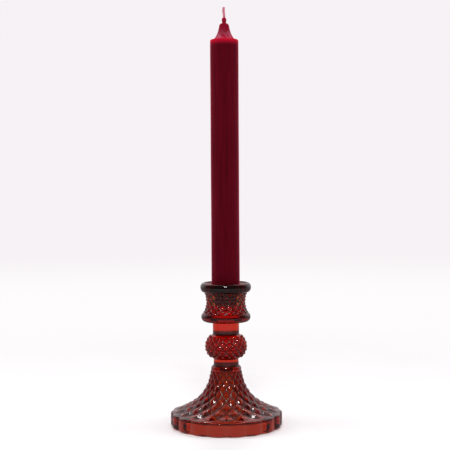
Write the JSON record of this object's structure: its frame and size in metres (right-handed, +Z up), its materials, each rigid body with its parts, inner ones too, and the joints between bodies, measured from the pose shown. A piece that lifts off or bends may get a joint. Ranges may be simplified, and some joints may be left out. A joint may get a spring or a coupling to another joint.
{
  "type": "faceted glass candle holder",
  "caption": "Pressed ruby glass candlestick with diamond facets, a scalloped flared foot and a straight dinner candle that lifts out of its socket.",
  "frame": {"origin": "centre of the foot on the table", "axes": "+Z up along the candle, -Y towards the front, where two scallops of the foot meet in a notch"},
  "size_m": [0.087, 0.086, 0.3255],
  "materials": {
    "ruby_glass": "fire-polished pressed glass",
    "candle_wax": "satin dipped wax with a faint bloom",
    "wick_cotton": "braided cotton soaked in wax"
  },
  "bodies": {
    "holder": {"glass_candlestick": "ruby_glass"},
    "candle": {"candle_wax": "candle_wax", "candle_wick": "wick_cotton"}
  },
  "joints": [
    {"name": "candle_lift", "type": "slide", "parent": "holder", "child": "candle", "axis": [0, 0, 1], "range_m": [0, 0.03]}
  ]
}
